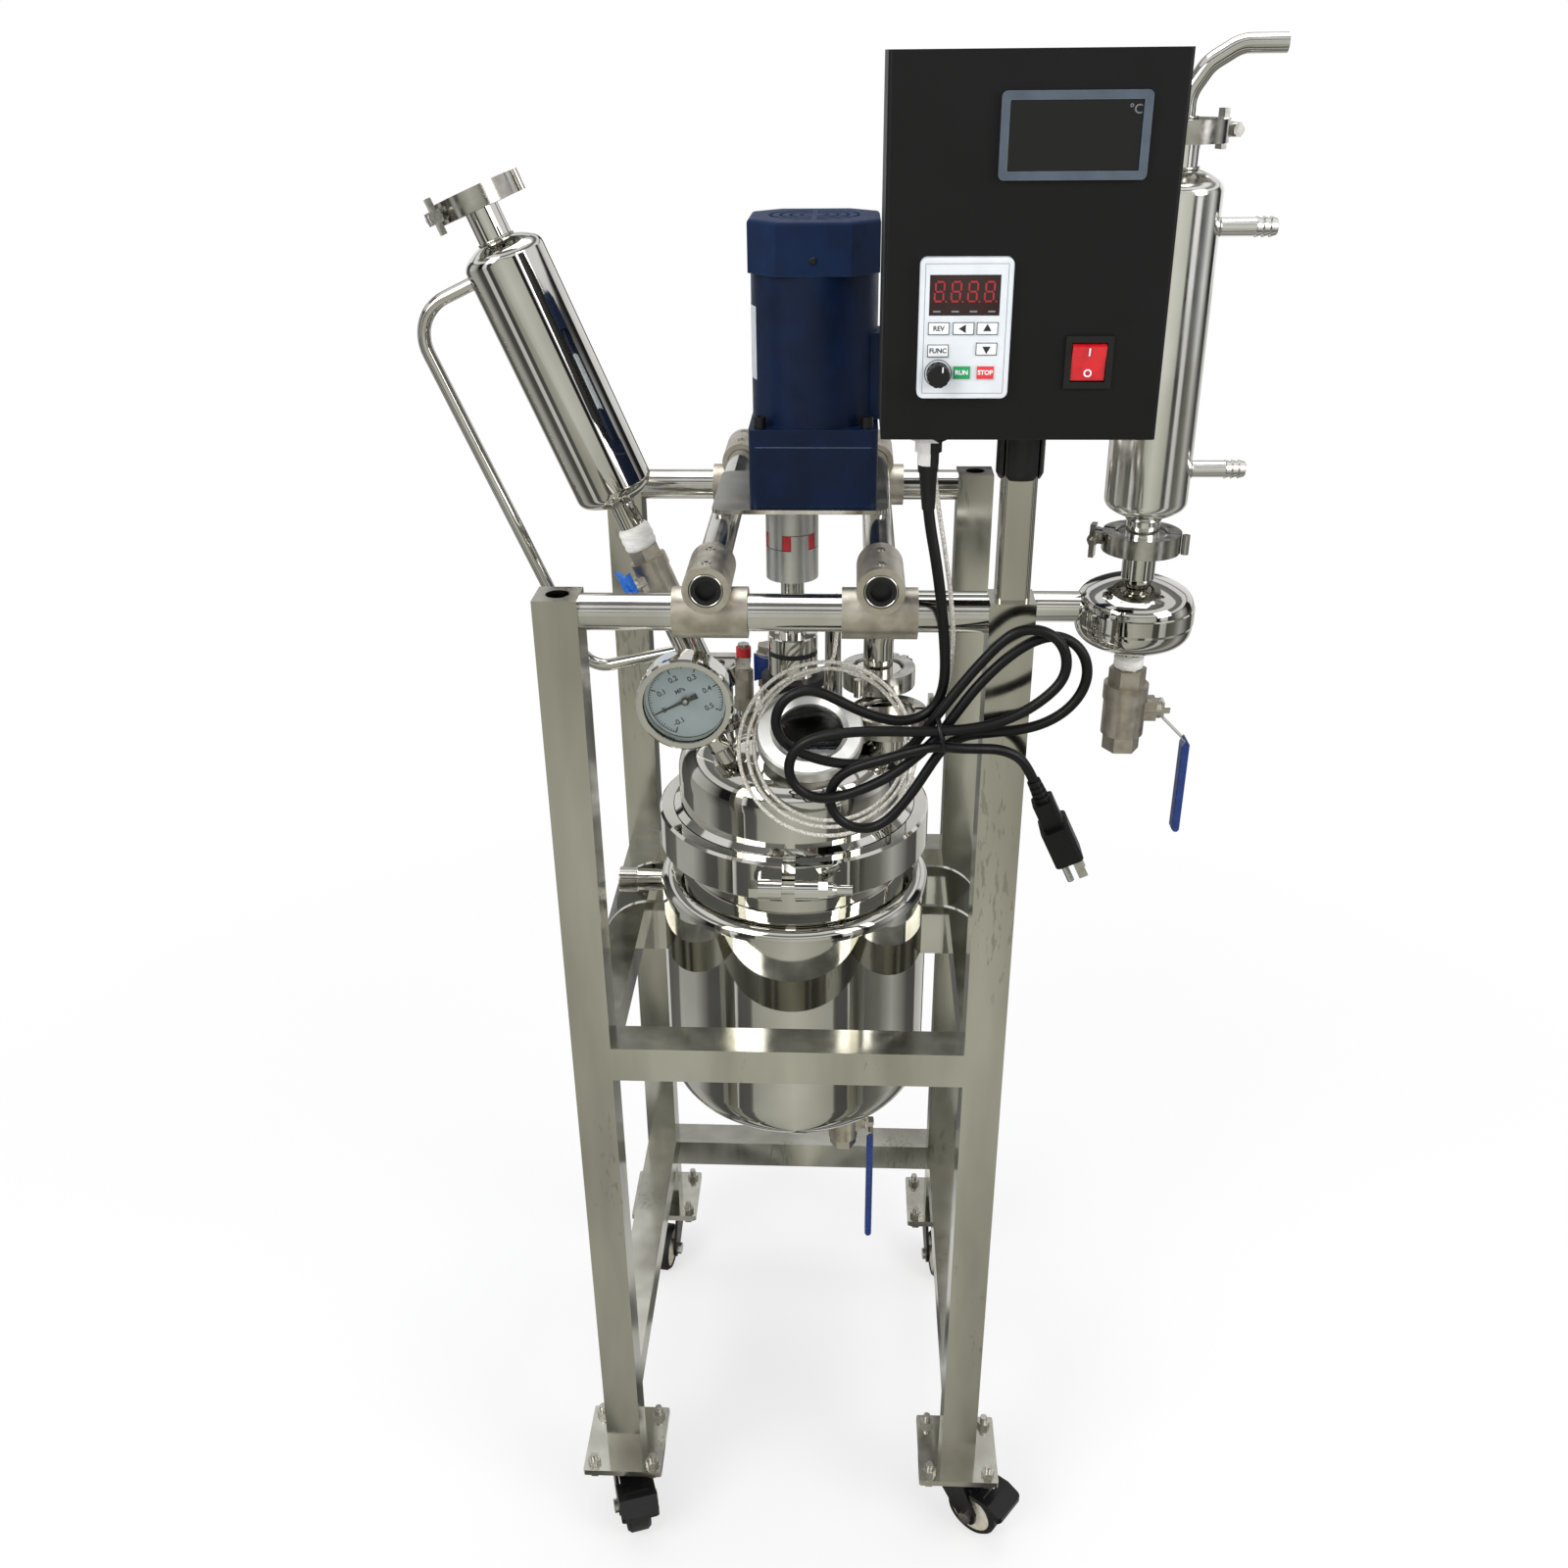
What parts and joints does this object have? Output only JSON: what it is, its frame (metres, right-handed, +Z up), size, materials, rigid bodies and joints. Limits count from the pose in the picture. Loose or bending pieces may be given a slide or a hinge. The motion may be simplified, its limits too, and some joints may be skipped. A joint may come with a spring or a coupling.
{
  "type": "jacketed reaction kettle",
  "caption": "Jacketed steel reaction kettle on a wheeled stand, with geared stirrer, dropping funnel, condenser, receiver and control box.",
  "frame": {"origin": "middle of the footprint on the floor", "axes": "+Z up, +X to the right of someone facing the control panel, -Y to the front"},
  "size_m": [0.624, 0.426, 1.2211],
  "materials": {
    "mirror_steel": "polished stainless steel",
    "cast_steel": "satin cast stainless steel",
    "alloy": "machined aluminium",
    "red_star": "red elastomer",
    "blue_enamel": "deep blue stoved paint",
    "blue_cover": "blue plastic cover",
    "black_sheet": "black textured paint",
    "black_plastic": "black plastic",
    "black_rubber": "black rubber",
    "pale_panel": "pale grey keypad film",
    "red_rocker": "translucent red plastic",
    "blue_sleeve": "blue plastic sleeve on steel",
    "bright_blue": "bright blue plastic",
    "dial_white": "printed dial",
    "needle_black": "black pointer",
    "dark_glass": "glass panes",
    "braid": "silver braided cable"
  },
  "bodies": {
    "stand": {"blank_caps": "mirror_steel", "bolts": "mirror_steel", "caster_plates": "mirror_steel", "condenser_shell": "mirror_steel", "control_box": "black_sheet", "cord_glands": "black_plastic", "cross_clamps": "cast_steel", "drain_ferrule": "mirror_steel", "end_plugs": "black_plastic", "fan_cover": "blue_cover", "ferrule_clamps": "mirror_steel", "funnel_body": "mirror_steel", "gaskets": "black_rubber", "gauge_case": "mirror_steel", "gauge_dial": "dial_white", "gearhead": "blue_enamel", "inner_vessel": "mirror_steel", "jacket_shell": "mirror_steel", "keypad_panel": "pale_panel", "lid": "mirror_steel", "lid_clamp": "mirror_steel", "mains_cord": "black_rubber", "mains_hank": "black_rubber", "mains_plug": "black_rubber", "motor_body": "blue_enamel", "motor_plate": "mirror_steel", "panel_frames": "black_plastic", "post_socket": "black_plastic", "receiver_pot": "mirror_steel", "seal_housing": "mirror_steel", "sensor_coil": "braid", "sensor_cord": "braid", "sight_ring": "mirror_steel", "stand_frame": "mirror_steel", "support_bars": "mirror_steel", "valve_bodies": "cast_steel", "vapour_outlet": "mirror_steel", "windows": "dark_glass"},
    "agitator": {"agitator_shaft": "mirror_steel", "impeller": "mirror_steel", "coupling_hubs": "alloy", "coupling_spider": "red_star"},
    "swivel_fl": {"caster_fork_fl": "black_plastic"},
    "wheel_fl": {"caster_wheel_fl": "black_rubber"},
    "pedal_fl": {"brake_pedal_left": "black_plastic"},
    "swivel_fr": {"caster_fork_fr": "black_plastic"},
    "wheel_fr": {"caster_wheel_fr": "black_rubber"},
    "pedal_fr": {"brake_pedal_right": "black_plastic"},
    "swivel_bl": {"caster_fork_bl": "black_plastic"},
    "wheel_bl": {"caster_wheel_bl": "black_rubber"},
    "swivel_br": {"caster_fork_br": "black_plastic"},
    "wheel_br": {"caster_wheel_br": "black_rubber"},
    "funnel_valve_handle_body": {"funnel_valve_handle": "bright_blue"},
    "pot_valve_lever_body": {"pot_valve_lever": "blue_sleeve"},
    "jacket_valve_lever_body": {"jacket_valve_lever": "blue_sleeve"},
    "vent_lever_body": {"vent_lever": "blue_sleeve"},
    "relief_lever_body": {"relief_lever": "mirror_steel"},
    "rocker_switch_body": {"rocker_switch": "red_rocker"},
    "speed_knob_body": {"speed_knob": "black_plastic"},
    "gauge_needle_body": {"gauge_needle": "needle_black"}
  },
  "joints": [
    {"name": "agitator_spin", "type": "hinge", "parent": "stand", "child": "agitator", "pos_m": [-0.02746, 0.01795, 0.64], "axis": [0, 0, 1], "continuous": true},
    {"name": "swivel_turn_fl", "type": "hinge", "parent": "stand", "child": "swivel_fl", "pos_m": [-0.17746, -0.14205, 0.06], "axis": [0, 0, 1], "continuous": true},
    {"name": "wheel_spin_fl", "type": "hinge", "parent": "swivel_fl", "child": "wheel_fl", "pos_m": [-0.17005, -0.16487, 0.025], "axis": [0.9511, 0.309, 0], "continuous": true},
    {"name": "brake_press_fl", "type": "hinge", "parent": "swivel_fl", "child": "pedal_fl", "pos_m": [-0.17499, -0.14966, 0.0545], "axis": [0.9511, 0.309, 0], "range_deg": [-4, 6]},
    {"name": "swivel_turn_fr", "type": "hinge", "parent": "stand", "child": "swivel_fr", "pos_m": [0.12254, -0.14205, 0.06], "axis": [0, 0, 1], "continuous": true},
    {"name": "wheel_spin_fr", "type": "hinge", "parent": "swivel_fr", "child": "wheel_fr", "pos_m": [0.14145, -0.15683, 0.025], "axis": [0.6157, 0.788, 0], "continuous": true},
    {"name": "brake_press_fr", "type": "hinge", "parent": "swivel_fr", "child": "pedal_fr", "pos_m": [0.12884, -0.14697, 0.0545], "axis": [0.6157, 0.788, 0], "range_deg": [-4, 6]},
    {"name": "swivel_turn_bl", "type": "hinge", "parent": "stand", "child": "swivel_bl", "pos_m": [-0.17746, 0.17795, 0.06], "axis": [0, 0, 1], "continuous": true},
    {"name": "wheel_spin_bl", "type": "hinge", "parent": "swivel_bl", "child": "wheel_bl", "pos_m": [-0.1808, 0.15418, 0.025], "axis": [0.9903, -0.1392, 0], "continuous": true},
    {"name": "swivel_turn_br", "type": "hinge", "parent": "stand", "child": "swivel_br", "pos_m": [0.12254, 0.17795, 0.06], "axis": [0, 0, 1], "continuous": true},
    {"name": "wheel_spin_br", "type": "hinge", "parent": "swivel_br", "child": "wheel_br", "pos_m": [0.12504, 0.15408, 0.025], "axis": [0.9945, 0.1045, 0], "continuous": true},
    {"name": "funnel_valve_turn", "type": "hinge", "parent": "stand", "child": "funnel_valve_handle_body", "pos_m": [-0.14003, 0.06795, 0.83443], "axis": [-0.7579, -0.5736, -0.3108], "range_deg": [0, 90]},
    {"name": "pot_valve_turn", "type": "hinge", "parent": "stand", "child": "pot_valve_lever_body", "pos_m": [0.24104, 0.04295, 0.7325], "axis": [1, 0, 0], "range_deg": [0, 90]},
    {"name": "jacket_valve_turn", "type": "hinge", "parent": "stand", "child": "jacket_valve_lever_body", "pos_m": [0.01654, 0.06995, 0.277], "axis": [1, 0, 0], "range_deg": [0, 90]},
    {"name": "vent_valve_turn", "type": "hinge", "parent": "stand", "child": "vent_lever_body", "pos_m": [-0.05146, 0.07995, 0.753], "axis": [0, -1, 0], "range_deg": [0, 90]},
    {"name": "relief_lift", "type": "hinge", "parent": "stand", "child": "relief_lever_body", "pos_m": [-0.06746, 0.02995, 0.775], "axis": [0, 1, 0], "range_deg": [0, 18], "stiffness_Nm_per_rad": 0.3},
    {"name": "rocker_tilt", "type": "hinge", "parent": "stand", "child": "rocker_switch_body", "pos_m": [0.15104, -0.19505, 1.0525], "axis": [1, 0, 0], "range_deg": [-18, 0]},
    {"name": "speed_turn", "type": "hinge", "parent": "stand", "child": "speed_knob_body", "pos_m": [0.06534, -0.20305, 1.0473], "axis": [0, 1, 0], "range_deg": [0, 270]},
    {"name": "needle_turn", "type": "hinge", "parent": "stand", "child": "gauge_needle_body", "pos_m": [-0.10663, -0.04105, 0.77396], "axis": [0, -1, 0], "range_deg": [-225, 45], "stiffness_Nm_per_rad": 0.002}
  ]
}
